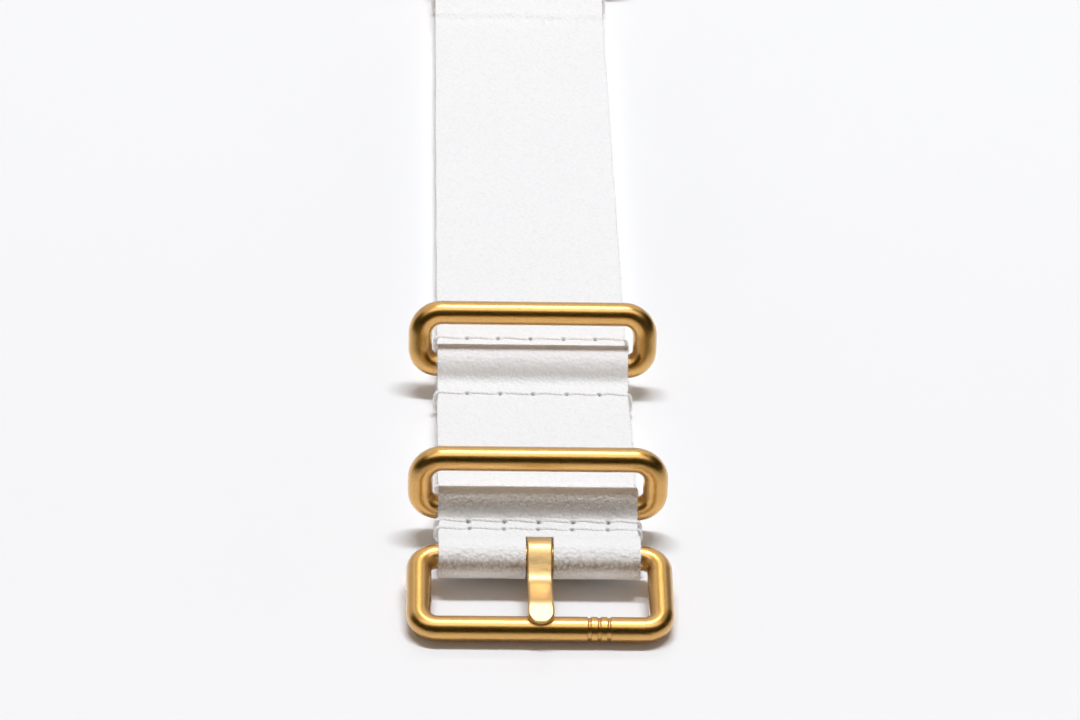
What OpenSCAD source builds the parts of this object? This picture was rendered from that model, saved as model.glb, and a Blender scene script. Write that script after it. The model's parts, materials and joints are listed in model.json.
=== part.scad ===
// Buckle end of a lined leather pass-through strap: a wire buckle with its tang,
// three wire keepers, two leathers and the seams that hold them together.
// X runs across the strap, Y along it with the buckle at the front, and Z is up.
// The lining's underside and the buckle's front bar lie on Z = 0.

/* [Strap] */
// Width of both leathers
strap_w = 20; // [14:0.5:26]
// Thickness of one leather
leather_t = 0.85; // [0.7:0.05:1.2]
// Glue line between two leathers
glue_gap = 0.04; // [0.02:0.01:0.1]
// Play of a metal bar in its leather tunnel
tunnel_play = 0.08; // [0.07:0.01:0.2]
// Height of the leather's top over the bars' axis in the seam behind the buckle
seam_rise = 0.3; // [0:0.05:0.6]
// Bend of the leather that slopes down behind the buckle
slope_r = 3.2; // [2:0.1:3.6]
// Bend of the leather in the crease in front of the front keeper
crease_r = 0.6; // [0.5:0.05:1]
// Bend of the leather at the foot of every other hump
foot_r = 1.6; // [1:0.1:2.4]
// Bend of the leather where it steps over the end of a turned-under layer
step_r = 2.2; // [1.4:0.1:4]
// Length of the step's slack past the end of that layer
step_slack = 0.3; // [0.1:0.1:1]
// Reach of the lining past the axes of the outermost keeper bars
lining_reach = 0.5; // [0:0.1:1]

/* [Buckle] */
// Thickness of the wire of the buckle and the keepers
wire_d = 2.5; // [1.8:0.1:3]
// Room between an edge of the strap and the buckle's arm
buckle_play = 0.65; // [0.4:0.05:2]
// Open length of the buckle's window in front of the leather
window_l = 5.87; // [4.6:0.01:12]
// Inner radius of the buckle's corners
buckle_corner = 0.6; // [0.3:0.1:1]
// Number of grooves turned in the front bar
groove_count = 3; // [1:1:5]
// Distance between two grooves
groove_pitch = 0.96; // [0.7:0.02:1.4]
// Place of the middle of the grooves, to the right of the buckle's middle
groove_x = 5.7; // [4:0.1:7]
// Radius of a groove's round floor
groove_r = 0.22; // [0.15:0.01:0.3]
// Depth of a groove
groove_depth = 0.12; // [0.05:0.01:0.2]

/* [Tang] */
// Width of the tang at its eye
tang_w = 2.5; // [1.8:0.1:3]
// Width of the tang where it meets its tip
tang_waist = 2.28; // [1.6:0.02:2.6]
// Width of the tang's spread tip
tang_tip_w = 2.66; // [2.4:0.02:3.2]
// Thickness of the tang's strip
tang_t = 0.65; // [0.5:0.05:0.8]
// Play of the tang's eye on its bar, and of its tip over the front bar
tang_play = 0.05; // [0.03:0.01:0.1]
// How much thinner than its eye the tang's arm is drawn out
tang_draw = 0.04; // [0.02:0.01:0.1]
// Slope of the tang where it leaves its eye, in degrees below level
tang_slope = 40; // [30:1:50]
// Rise of the tang's long run towards the front bar, in degrees
tang_rise = 4; // [0:1:8]
// Bend of the tang at the foot of its slope
tang_bend_r = 1.1; // [0.6:0.1:1.6]
// How far the tip folds down over the front bar, in degrees
tip_fold = 34; // [20:1:45]
// Gap in the eye under the tang, in degrees
eye_gap = 26; // [15:1:50]
// Room for the tang on each side of its slot in the leather
slot_play = 0.2; // [0.15:0.05:0.6]

/* [Keepers] */
// Room between an edge of the strap and a keeper's side
keeper_play = 0.55; // [0.4:0.05:2]
// Room over the leather for the strap's tail in a keeper
tail_room = 2.2; // [1.6:0.1:5]
// Inner radius of a keeper's corners
keeper_corner = 1; // [0.4:0.1:1.2]
// Distance from the front keeper's bar to the middle keeper's bar
middle_keeper_gap = 24.85; // [20:0.05:60]
// Distance from the middle keeper's bar to the end keeper's bar
end_keeper_gap = 83; // [40:1:160]
// Backward lean of the front keeper, in degrees
front_lean = 5.5; // [0:0.5:20]
// Backward lean of the middle keeper, in degrees
middle_lean = 19; // [0:0.5:30]
// Backward lean of the end keeper, in degrees
end_lean = 19; // [0:0.5:30]

/* [Stitching] */
// Thickness of the thread
thread_d = 0.45; // [0.42:0.01:0.6]
// Thickness of the thread where it is drawn tight in a hole or round an edge
leg_d = 0.4; // [0.25:0.05:0.4]
// Diameter of an awl hole
hole_d = 0.7; // [0.65:0.05:0.9]
// Distance from an edge of the strap to the first hole
hole_margin = 3.1; // [2:0.1:4]
// Number of holes in a row
hole_count = 5; // [3:2:7]
// Depth to which a stitch dips into its holes
stitch_dip = 0.35; // [0.2:0.05:0.4]
// Play of the thread in its groove
thread_play = 0.03; // [0.02:0.01:0.05]
// Distance between the two rows of a double seam
row_gap = 1.3; // [1:0.1:1.6]
// Distance from the foot of the front keeper's hump to the row behind it
front_row_gap = 0.8; // [0.5:0.1:4]
// Distance from the foot of the middle keeper's hump to the row in front of it
middle_row_gap = 1.2; // [0.5:0.1:4]
// Distance from the foot of the middle keeper's hump to the row behind it
back_row_gap = 2.4; // [0.5:0.1:4]
// Distance from the foot of the end keeper's hump to the nearer row of the end seam
end_row_gap = 0.7; // [0.5:0.1:4]
// Leather past the last row of a turned-under layer
seam_margin = 2.2; // [1.5:0.1:5]

/* [Hidden] */
$fn = 64;
bend_step = 9;
cut = 1;
metal = [0.80, 0.62, 0.33];
leather = [0.96, 0.96, 0.97];
lining = [0.90, 0.88, 0.85];
thread = [0.99, 0.99, 0.98];

// Radii round a bar: the wire itself and the middle of the leather over it
wire_r = wire_d / 2;
tunnel_r = wire_r + tunnel_play;
loop_r = tunnel_r + leather_t / 2;

// Heights of the middle of a leather in each layer, and of the bars' axis
layer = leather_t + glue_gap;
under_z = layer + leather_t / 2;
over_z = under_z + layer;
bar_z = under_z + loop_r;
crest_z = bar_z + loop_r;
pinch_z = bar_z + seam_rise - leather_t / 2;

// Outer sizes of the wire loops
buckle_w = strap_w + 2 * (buckle_play + wire_d);
buckle_l = 2 * wire_d + tunnel_play + leather_t + window_l;
keeper_w = strap_w + 2 * (keeper_play + wire_d);
keeper_h = 2 * wire_d + tunnel_play + leather_t + tail_room;

// Turn of each of the two arcs that change level by a rise, and their length along the strap
function s_turn(rise, r1, r2) = acos(1 - rise / (r1 + r2));
function s_run(rise, r1, r2) = (r1 + r2) * sin(s_turn(rise, r1, r2));
pinch_rise = pinch_z - layer - under_z;
pinch_turn = s_turn(pinch_rise, loop_r, foot_r);
pinch_run = s_run(pinch_rise, loop_r, foot_r);
slope_turn = s_turn(crest_z - pinch_z, loop_r, slope_r);
slope_run = s_run(crest_z - pinch_z, loop_r, slope_r);
crease_turn = s_turn(crest_z - pinch_z, loop_r, crease_r);
crease_run = s_run(crest_z - pinch_z, loop_r, crease_r);
foot_turn = s_turn(crest_z - over_z, loop_r, foot_r);
foot_run = s_run(crest_z - over_z, loop_r, foot_r);
step_turn = s_turn(layer, step_r, step_r);
step_run = s_run(layer, step_r, step_r);

// Places along the strap, counted from the buckle's rear bar
seam_flat = row_gap + hole_d;
front_keeper_y = slope_run + seam_flat + crease_run;
middle_keeper_y = front_keeper_y + middle_keeper_gap;
end_keeper_y = middle_keeper_y + end_keeper_gap;
back_row = foot_run + back_row_gap;
end_row = foot_run + end_row_gap;
fold_y = middle_keeper_y + back_row + seam_margin;
end_fold = end_row + row_gap + seam_margin;

// Lengths of the strap's level runs
front_flat = middle_keeper_gap - 2 * foot_run;
fold_flat = fold_y + step_slack - middle_keeper_y - foot_run;
end_flat = end_fold + step_slack - foot_run;
long_flat = end_keeper_y - end_fold - step_slack - step_run - (fold_y + step_slack + step_run);

// The leather's path from its turned-under front end, round the buckle's bar and back over
// the keepers to its turned-under far end: [length] goes straight, [radius, turn] bends
strap_path = [
  [fold_y - front_keeper_y],
  [loop_r, -pinch_turn],
  [foot_r, pinch_turn],
  [front_keeper_y - 2 * pinch_run],
  [foot_r, pinch_turn],
  [loop_r, -pinch_turn - 180 - slope_turn],
  [slope_r, slope_turn],
  [seam_flat],
  [crease_r, crease_turn],
  [loop_r, -crease_turn - foot_turn],
  [foot_r, foot_turn],
  [front_flat],
  [foot_r, foot_turn],
  [loop_r, -2 * foot_turn],
  [foot_r, foot_turn],
  [fold_flat],
  [step_r, -step_turn],
  [step_r, step_turn],
  [long_flat],
  [step_r, step_turn],
  [step_r, -step_turn],
  [end_flat],
  [foot_r, foot_turn],
  [loop_r, -foot_turn - 180],
  [end_fold]
];

// Seams: distance from the buckle's rear bar, top of the leather and underside of the layers
pair_y = slope_run + seam_flat / 2;
pair_top = pinch_z + leather_t / 2;
pair_under = pinch_z - layer - leather_t / 2;
flat_top = over_z + leather_t / 2;
buckle_row_front = [pair_y - row_gap / 2, pair_top, pair_under];
buckle_row_back = [pair_y + row_gap / 2, pair_top, pair_under];
front_keeper_row = [front_keeper_y + foot_run + front_row_gap, flat_top, 0];
middle_row_front = [middle_keeper_y - foot_run - middle_row_gap, flat_top, 0];
middle_row_back = [middle_keeper_y + back_row, flat_top, 0];
end_row_front = [end_keeper_y - end_row - row_gap, flat_top, 0];
end_row_back = [end_keeper_y - end_row, flat_top, 0];
folded_rows = [buckle_row_front, buckle_row_back];
lined_rows = [front_keeper_row, middle_row_front, middle_row_back, end_row_front, end_row_back];

// The buckle rests on its front bar, so it slopes down from its rear bar
bar_span = buckle_l - wire_d;
buckle_dip = asin((bar_z - wire_r) / bar_span);
front_bar = [-bar_span * cos(buckle_dip), wire_r - bar_z];

// Tang, in the plane across the bars with the rear bar's axis at zero
eye_in = wire_r + tang_play;
eye_out = eye_in + tang_t;
eye_mid = (eye_in + eye_out) / 2;
slope_dir = [-cos(tang_slope), -sin(tang_slope)];
slope_from = eye_mid * [-sin(tang_slope), cos(tang_slope)];
run_dir = [-cos(tang_rise), sin(tang_rise)];
run_to = front_bar + eye_mid * [sin(tang_rise), cos(tang_rise)];
// Where the slope's line meets the long run's line
knee_gap = run_to - slope_from;
knee_at = (knee_gap.x * run_dir.y - knee_gap.y * run_dir.x)
  / (slope_dir.x * run_dir.y - slope_dir.y * run_dir.x);
knee = slope_from + knee_at * slope_dir;
knee_turn = tang_slope + tang_rise;
knee_cut = tang_bend_r * tan(knee_turn / 2);
eye_lap = tang_t / 4;
arm_path = [
  [eye_lap + knee_at - knee_cut],
  [tang_bend_r, -knee_turn],
  [norm(run_to - knee) - knee_cut],
  [eye_mid, tang_rise + tip_fold]
];
slot_back = eye_out + slot_play;
slot_w = tang_w + 2 * slot_play;

// The middle of the whole part along Y
keeper_span = keeper_h - wire_d;
front_end = front_bar.x - wire_r;
far_end = end_keeper_y + max(keeper_span * sin(end_lean) + wire_r, loop_r + leather_t / 2);
middle_y = (front_end + far_end) / 2;

// Moves a piece that is drawn from the buckle's rear bar to its place in the part
module placed(y, z = 0) {
  translate([0, y - middle_y, z]) children();
}

// Extrudes an outline drawn in Y and Z across the strap
module across(w) {
  rotate([90, 0, 90]) linear_extrude(w, center = true) children();
}

// Slice of a ring from angle 0 to turn
module ring_slice(r, t, turn) {
  reach = 2 * (r + t);
  intersection() {
    difference() {
      circle(r + t / 2);
      circle(r - t / 2);
    }
    polygon([[0, 0], for (i = [0:8]) reach * [cos(turn * i / 8), sin(turn * i / 8)]]);
  }
}

// Place and heading at the end of a step that starts at [x, y, heading]
function after_step(at, step) =
  len(step) == 1
    ? [at.x + step[0] * cos(at.z), at.y + step[0] * sin(at.z), at.z]
    : let (
        side = sign(step[1]) * step[0],
        heading = at.z + step[1]
      ) [
        at.x + side * (sin(heading) - sin(at.z)),
        at.y - side * (cos(heading) - cos(at.z)),
        heading
      ];

// Point beside a place, at a distance to the left of its heading
function beside(at, off) = [at.x - off * sin(at.z), at.y + off * cos(at.z)];

// Points along one step, all but its end
function step_points(step, at, off) =
  len(step) == 1
    ? [beside(at, off)]
    : let (n = ceil(abs(step[1]) / bend_step))
      [for (k = [0:n - 1]) beside(after_step(at, [step[0], step[1] * k / n]), off)];

// One long edge of a strip along a path
function strip_edge(path, at, off, i = 0) =
  i == len(path)
    ? [beside(at, off)]
    : concat(step_points(path[i], at, off), strip_edge(path, after_step(at, path[i]), off, i + 1));

// A strip of thickness t along a path that starts at [x, y, heading]
module strip(path, t, at) {
  left = strip_edge(path, at, t / 2);
  right = strip_edge(path, at, -t / 2);
  polygon(concat(left, [for (i = [len(right) - 1:-1:0]) right[i]]));
}

// One bar of a wire loop along X, with a quarter bend up at each end
module bent_bar(half_w, bend) {
  x = half_w - bend;
  rotate([0, 90, 0]) cylinder(h = 2 * x, r = wire_r, center = true);
  for (side = [0, 1]) mirror([side, 0, 0])
    translate([x, bend, 0]) rotate(-90) rotate_extrude(angle = 90) translate([bend, 0]) circle(wire_r);
}

// A closed loop of round wire lying in X and Y, with its held bar on the X axis
// and the inner corner radii of that bar and of the free bar
module wire_loop(w, h, held_corner, free_corner) {
  half_w = w / 2 - wire_r;
  span = h - wire_d;
  low = held_corner + wire_r;
  high = span - free_corner - wire_r;
  bent_bar(half_w, low);
  translate([0, span, 0]) mirror([0, 1, 0]) bent_bar(half_w, span - high);
  for (x = [-half_w, half_w])
    translate([x, low, 0]) rotate([-90, 0, 0]) cylinder(h = high - low, r = wire_r);
}

// Rings that cut the turned grooves in a bar along X
module grooves() {
  for (i = [0:groove_count - 1])
    translate([groove_x + (i - (groove_count - 1) / 2) * groove_pitch, 0, 0]) rotate([0, 90, 0])
      rotate_extrude() translate([wire_r + groove_r - groove_depth, 0]) circle(groove_r);
}

module buckle_frame() {
  color(metal) placed(0, bar_z) rotate([buckle_dip, 0, 0]) difference() {
    mirror([0, 1, 0]) wire_loop(buckle_w, buckle_l, min(buckle_corner, buckle_play), buckle_corner);
    translate([0, -bar_span, 0]) grooves();
  }
}

// Outline of the tang's eye, open under the arm
module tang_eye() {
  rotate(90 + tang_slope + eye_gap) ring_slice(eye_mid, tang_t, 360 - eye_gap);
}

// Outline of the tang's arm: a slope, a long run and a folded tip
module tang_arm() {
  from = slope_from - eye_lap * slope_dir;
  strip(arm_path, tang_t - tang_draw, [from.x, from.y, 180 + tang_slope]);
}

// Outline of the tang from above: its sides taper from the eye to the waist, and its tip is round
module tang_plan() {
  tip_y = front_bar.x - eye_out * sin(tip_fold) + tang_tip_w / 2;
  translate([0, tip_y]) circle(tang_tip_w / 2);
  polygon([
    [-tang_waist / 2, tip_y], [tang_waist / 2, tip_y], [tang_w / 2, -eye_mid],
    [tang_w / 2, eye_out + cut], [-tang_w / 2, eye_out + cut], [-tang_w / 2, -eye_mid]
  ]);
}

module buckle_tang() {
  width = max(tang_w, tang_tip_w) + cut;
  color(metal) placed(0, bar_z) intersection() {
    union() {
      across(width) tang_eye();
      across(width) tang_arm();
    }
    linear_extrude(2 * buckle_l, center = true) tang_plan();
  }
}

// A keeper stands on its lower bar in the leather and leans back
module keeper(y, lean) {
  color(metal) placed(y, bar_z) rotate([90 - lean, 0, 0])
    wire_loop(keeper_w, keeper_h, min(keeper_corner, keeper_play), keeper_corner);
}

module front_keeper() {
  keeper(front_keeper_y, front_lean);
}

module middle_keeper() {
  keeper(middle_keeper_y, middle_lean);
}

module end_keeper() {
  keeper(end_keeper_y, end_lean);
}

// A stitch of thread radius r that bows up between two dips at x0 and x1
module bow(x0, x1, z, r) {
  half = (x1 - x0) / 2;
  bow_r = half * half / (2 * stitch_dip) + stitch_dip / 2;
  turn = 2 * asin(half / bow_r);
  translate([x0 + half, 0, z - bow_r]) rotate([90, 0, 0]) rotate(90 - turn / 2)
    rotate_extrude(angle = turn) translate([bow_r, 0]) circle(r);
}

// One row of sewing: stitches on top, a leg in each hole, a run below and a turn round each edge
module seam_thread(row, leg_r, play = 0) {
  r = thread_d / 2 + play;
  edge = strap_w / 2;
  last = edge - hole_margin;
  holes = [for (i = [0:hole_count - 1]) (2 * i / (hole_count - 1) - 1) * last];
  dips = concat([-edge], holes, [edge]);
  run_z = row[2] + thread_d / 2 + thread_play;
  leg_h = row[1] - stitch_dip - run_z;
  for (i = [0:hole_count]) bow(dips[i], dips[i + 1], row[1], r);
  translate([0, 0, run_z]) {
    for (x = holes) translate([x, 0, 0]) cylinder(h = leg_h, r = leg_r);
    for (x = [-edge, edge]) translate([x, 0, 0]) cylinder(h = leg_h + r, r = leg_d / 2 + play);
    rotate([0, 90, 0]) cylinder(h = strap_w + 2 * r, r = r, center = true);
  }
}

module seam(row) {
  color(thread) placed(row[0]) seam_thread(row, leg_d / 2);
}

// Holes and grooves that a row of sewing leaves in the leathers
module seam_cut(row) {
  r = thread_d / 2 + thread_play;
  placed(row[0]) {
    seam_thread(row, hole_d / 2, thread_play);
    translate([-strap_w, -r, row[2] - cut]) cube([2 * strap_w, 2 * r, cut + thread_d / 2 + thread_play]);
  }
}

module strap_leather() {
  color(leather) difference() {
    placed(0) across(strap_w) strip(strap_path, leather_t, [fold_y, under_z, 180]);
    placed(0, bar_z) translate([-slot_w / 2, -2 * loop_r, -2 * loop_r])
      cube([slot_w, 2 * loop_r + slot_back, 4 * loop_r]);
    for (row = folded_rows) seam_cut(row);
    for (row = lined_rows) seam_cut(row);
  }
}

module lining_leather() {
  from = front_keeper_y - lining_reach;
  color(lining) difference() {
    placed(from) translate([-strap_w / 2, 0, 0])
      cube([strap_w, end_keeper_y + lining_reach - from, leather_t]);
    for (row = lined_rows) seam_cut(row);
  }
}

module buckle_seam_front() {
  seam(buckle_row_front);
}

module buckle_seam_back() {
  seam(buckle_row_back);
}

module front_keeper_seam() {
  seam(front_keeper_row);
}

module middle_seam_front() {
  seam(middle_row_front);
}

module middle_seam_back() {
  seam(middle_row_back);
}

module end_seam_front() {
  seam(end_row_front);
}

module end_seam_back() {
  seam(end_row_back);
}

buckle_frame();
buckle_tang();
front_keeper();
middle_keeper();
end_keeper();
strap_leather();
lining_leather();
buckle_seam_front();
buckle_seam_back();
front_keeper_seam();
middle_seam_front();
middle_seam_back();
end_seam_front();
end_seam_back();
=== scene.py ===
import json
import math

import bmesh
import bpy
import numpy as np
from mathutils import Matrix, Vector, noise


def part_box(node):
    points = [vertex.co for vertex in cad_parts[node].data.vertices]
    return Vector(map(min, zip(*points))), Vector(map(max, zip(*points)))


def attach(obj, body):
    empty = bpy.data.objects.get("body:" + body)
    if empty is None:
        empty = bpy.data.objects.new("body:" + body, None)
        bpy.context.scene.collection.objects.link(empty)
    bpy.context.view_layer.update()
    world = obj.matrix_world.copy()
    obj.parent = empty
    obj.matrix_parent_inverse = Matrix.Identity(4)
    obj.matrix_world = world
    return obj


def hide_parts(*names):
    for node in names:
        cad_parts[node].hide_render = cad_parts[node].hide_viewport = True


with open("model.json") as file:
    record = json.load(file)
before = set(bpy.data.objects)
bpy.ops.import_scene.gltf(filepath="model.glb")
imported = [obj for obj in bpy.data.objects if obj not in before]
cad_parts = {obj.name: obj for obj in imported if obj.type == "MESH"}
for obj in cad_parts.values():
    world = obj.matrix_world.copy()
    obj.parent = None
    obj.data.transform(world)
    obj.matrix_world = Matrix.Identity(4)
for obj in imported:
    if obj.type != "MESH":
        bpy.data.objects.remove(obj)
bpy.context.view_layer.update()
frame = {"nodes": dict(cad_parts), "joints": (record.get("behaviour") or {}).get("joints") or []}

# Wire hardware
# The buckle and the three keepers are closed loops of round brass wire, bent and soldered, then
# blasted and plated to an even satin gold. The buckle's front bar has three turned grooves.
mm = 0.001


class Value:
    """An output of a node. Arithmetic on it adds Math nodes to the tree."""

    def __init__(self, maker, socket):
        self.maker, self.socket = maker, socket

    def output(self, name):
        """Another output of the same node."""
        return Value(self.maker, self.socket.node.outputs[name])

    def math(self, operation, a, b):
        return self.maker.node("ShaderNodeMath", {"operation": operation}, {0: a, 1: b})

    def __add__(self, other):
        return self.math("ADD", self, other)

    def __sub__(self, other):
        return self.math("SUBTRACT", self, other)

    def __rsub__(self, other):
        return self.math("SUBTRACT", other, self)

    def __mul__(self, other):
        return self.math("MULTIPLY", self, other)

    def __truediv__(self, other):
        return self.math("DIVIDE", self, other)

    __radd__, __rmul__ = __add__, __mul__


class Nodes:
    """A tree of nodes under construction."""

    def __init__(self, tree):
        self.tree = tree
        tree.nodes.clear()

    def node(self, kind, settings=None, inputs=None, output=0):
        """Adds a node: first its settings, then the values or links of its sockets."""
        made = self.tree.nodes.new(kind)
        for name, setting in (settings or {}).items():
            if name == "stops":
                for stop, (place, colour) in zip(made.color_ramp.elements, setting):
                    stop.position, stop.color = place, colour
            else:
                setattr(made, name, setting)
        for name, value in (inputs or {}).items():
            if isinstance(value, Value):
                self.tree.links.new(value.socket, made.inputs[name])
            else:
                made.inputs[name].default_value = value
        return Value(self, made.outputs[output]) if made.outputs else None

    def mix(self, share, a, b):
        """A colour between a and b."""
        return self.node("ShaderNodeMix", {"data_type": "RGBA"}, {0: share, 6: a, 7: b}, output=2)


class Finish(Nodes):
    """A material under construction."""

    def __init__(self, name):
        self.material = bpy.data.materials.new(name)
        self.material.use_nodes = True
        super().__init__(self.material.node_tree)

    def place(self):
        return self.node("ShaderNodeTexCoord", output="Object")

    def mark(self, name):
        """A number that each point of the mesh carries."""
        return self.node("ShaderNodeAttribute", {"attribute_name": name}, output="Fac")

    def noise(self, place, size, detail=3.0, roughness=0.55):
        """Noise from 0 to 1, with features of about a size in millimetres."""
        return self.node("ShaderNodeTexNoise", None, {
            "Vector": place, "Scale": 1 / (size * mm), "Detail": detail, "Roughness": roughness})

    def bump(self, height, depth):
        """A surface raised by a depth in millimetres where the height is 1."""
        return self.node("ShaderNodeBump", None, {"Height": height, "Distance": depth * mm})

    def surface(self, **inputs):
        named = {name.replace("_", " "): value for name, value in inputs.items()}
        shader = self.node("ShaderNodeBsdfPrincipled", None, named)
        self.node("ShaderNodeOutputMaterial", None, {"Surface": shader})
        return self.material


def satin_brass():
    deep, pale, tarnish = (0.71, 0.362, 0.046, 1), (0.79, 0.42, 0.065, 1), (0.44, 0.235, 0.045, 1)
    pit_stops = [(0.58, (0, 0, 0, 1)), (0.72, (1, 1, 1, 1))]
    finish = Finish("satin_brass")
    place = finish.place()
    cloud = finish.noise(place, 3.5, detail=2.0)
    grain = finish.noise(place, 0.11, detail=2.0, roughness=0.7)
    speck = finish.noise(place, 0.35)
    pits = finish.node("ShaderNodeValToRGB", {"stops": pit_stops}, {"Fac": speck})
    return finish.surface(
        Base_Color=finish.mix(pits * 0.4, finish.mix(cloud, deep, pale), tarnish),
        Metallic=1.0,
        Roughness=0.24 + grain * 0.10 + pits * 0.08,
        Coat_Weight=1.0,
        Coat_IOR=1.9,
        Coat_Roughness=0.2,
        Normal=finish.bump(grain + speck * 0.6, 0.01),
    )


brass = satin_brass()
for name in ("buckle_frame", "front_keeper", "middle_keeper", "end_keeper"):
    wire = frame["nodes"][name].data
    wire.materials.clear()
    wire.materials.append(brass)

# Tang
# A flat brass strip, rolled into an eye round the buckle's rear bar. It slopes down to a level run
# and folds over the front bar, where its tip is spread a little wider and ends in a half round.
bars = {joint["child"]: Vector(joint["pos_m"]) / mm for joint in frame["joints"]}
rear_bar = bars["buckle"]

# In millimetres and degrees. y runs along the strap, away from the camera, and z is up
wire_r, bar_span = 1.25, 9.3
tang_w, tang_waist, tang_tip_w = 2.5, 2.44, 2.62
tang_t, tang_edge = 0.63, 0.2
eye_mid, eye_gap = 1.625, 26.0
tang_slope, slope_l, knee_r = 40.0, 2.87, 2.3
crest_r, crest_back = 1.5, 1.95
tip_slope, tip_fold = 15.0, 34.0
neck_back, neck_soft = 0.75, 0.16
taper_from, taper_l = 3.0, 6.0
ring_gap = 0.14


def unit(degrees):
    return np.array([math.cos(math.radians(degrees)), math.sin(math.radians(degrees))])


def run_along(steps, start, heading, spacing, turn):
    """Rows of y, z, heading and distance along a path of straights [length] and bends [radius, degrees].

    A straight has a row every spacing millimetres or less, and a bend one every turn degrees or less.
    """
    y, z = start
    gone = 0.0
    rows = []
    for step in steps:
        if len(step) == 1:
            count = max(1, math.ceil(step[0] / spacing))
            part = []
            for k in range(count + 1):
                far = step[0] * k / count
                part.append((y + far * math.cos(heading), z + far * math.sin(heading), heading, gone + far))
        else:
            radius, total = step[0], math.radians(step[1])
            side = math.copysign(radius, total)
            count = max(1, math.ceil(abs(step[1]) / turn))
            part = []
            for k in range(count + 1):
                now = heading + total * k / count
                part.append((
                    y + side * (math.sin(now) - math.sin(heading)),
                    z - side * (math.cos(now) - math.cos(heading)),
                    now,
                    gone + radius * abs(total) * k / count))
        rows += part[:-1]
        y, z, heading, gone = part[-1]
    return np.array(rows + [(y, z, heading, gone)])


def rows_at(places, path):
    """A path's rows at some distances along it."""
    return np.stack([np.interp(places, path[:, 3], path[:, k]) for k in range(3)] + [places], axis=1)


# Seen from the rear bar, in y and z: the front bar, which lies on the table, and the strip's knee and
# crest before their bends
bar_drop = rear_bar.z - wire_r
front_bar = np.array([-math.sqrt(bar_span ** 2 - bar_drop ** 2), -bar_drop])
knee = eye_mid * unit(90 + tang_slope) + slope_l * unit(180 + tang_slope)
crest = front_bar + eye_mid * unit(90 + tip_slope) - crest_back * unit(180 + tip_slope)
run = crest - knee
run_rise = math.degrees(math.atan2(run[1], -run[0]))
knee_cut = knee_r * math.tan(math.radians((tang_slope + run_rise) / 2))
crest_cut = crest_r * math.tan(math.radians((run_rise + tip_slope) / 2))
eye_start = 90 + tang_slope + eye_gap
tang_steps = [
    [eye_mid, 360 - eye_gap],
    [slope_l - knee_cut],
    [knee_r, -tang_slope - run_rise],
    [float(np.hypot(*run)) - knee_cut - crest_cut],
    [crest_r, run_rise + tip_slope],
    [crest_back - crest_cut],
    [eye_mid, tip_fold - tip_slope],
]
tang_path = run_along(tang_steps, eye_mid * unit(eye_start), math.radians(eye_start + 90), 0.05, 1.0)

# Rings of points along it, close together in the half round of the tip and in the rounded end of the eye
tang_l = tang_path[-1, 3]
tip_half = tang_tip_w / 2
tip_angles, eye_end_angles = np.radians(np.linspace(4, 90, 22)), np.radians(np.linspace(20, 90, 4))
in_tip = tip_half * (1 - np.cos(tip_angles))
in_arm = np.arange(tip_half + 0.1, tang_l, ring_gap)
in_eye_end = tang_edge * (1 - np.cos(eye_end_angles))
ring_places = np.concatenate([tang_l - in_tip, tang_l - in_arm, [0.0], in_eye_end])
tang_rows = rows_at(np.unique(np.round(ring_places, 4)), tang_path)


def tang_half(to_end):
    """Half the tang's width at a distance from its tip: half round, a neck, then wider towards the eye."""
    if to_end < tip_half:
        return math.sqrt(tip_half ** 2 - (tip_half - to_end) ** 2)
    neck = 1 / (1 + math.exp((to_end - tip_half - neck_back) / neck_soft))
    taper = min(1.0, max(0.0, (to_end - taper_from) / taper_l))
    arm = (tang_waist + (tang_w - tang_waist) * taper) / 2
    return arm + (tip_half - arm) * neck


def edge_ring(half, thick):
    """Outline of the strip's section: places across and up, with corners that still fit at the thin tip."""
    bend = min(tang_edge, half * 0.98, thick * 0.95)
    out, up = half - bend, thick - bend
    corner_angles = np.radians([72, 54, 36, 18, 0])
    flat = [(f * out, thick) for f in np.linspace(-1, 1, 9)]
    corner = [(out + bend * math.cos(t), up + bend * math.sin(t)) for t in corner_angles]
    lower_right = [(x, -z) for x, z in corner[::-1]]
    lower_flat = [(x, -thick) for x, z in flat[::-1]]
    lower_left = [(-x, -z) for x, z in corner]
    upper_left = [(-x, z) for x, z in corner[::-1]]
    return flat + corner + lower_right + lower_flat + lower_left + upper_left


def brushed_brass():
    deep, pale = (0.79, 0.485, 0.138, 1), (0.89, 0.60, 0.225, 1)
    brushed_across = (1.0, 0.12, 0.12)
    finish = Finish("brushed_brass")
    place = finish.place()
    drawn = finish.node("ShaderNodeVectorMath", {"operation": "MULTIPLY"}, {0: place, 1: brushed_across})
    streak = finish.noise(drawn, 0.06, detail=2.0, roughness=0.6)
    cloud = finish.noise(place, 0.9, roughness=0.6)
    return finish.surface(
        Base_Color=finish.mix(cloud, deep, pale),
        Metallic=1.0,
        Roughness=0.30 + streak * 0.16,
        Coat_Weight=1.0,
        Coat_IOR=1.9,
        Coat_Roughness=0.28,
        Normal=finish.bump(streak + cloud * 5.0, 0.01),
    )


def new_piece(name, mesh):
    """An object at the origin, with its place in its mesh."""
    piece = bpy.data.objects.new(name, mesh)
    bpy.context.scene.collection.objects.link(piece)
    return piece


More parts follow.
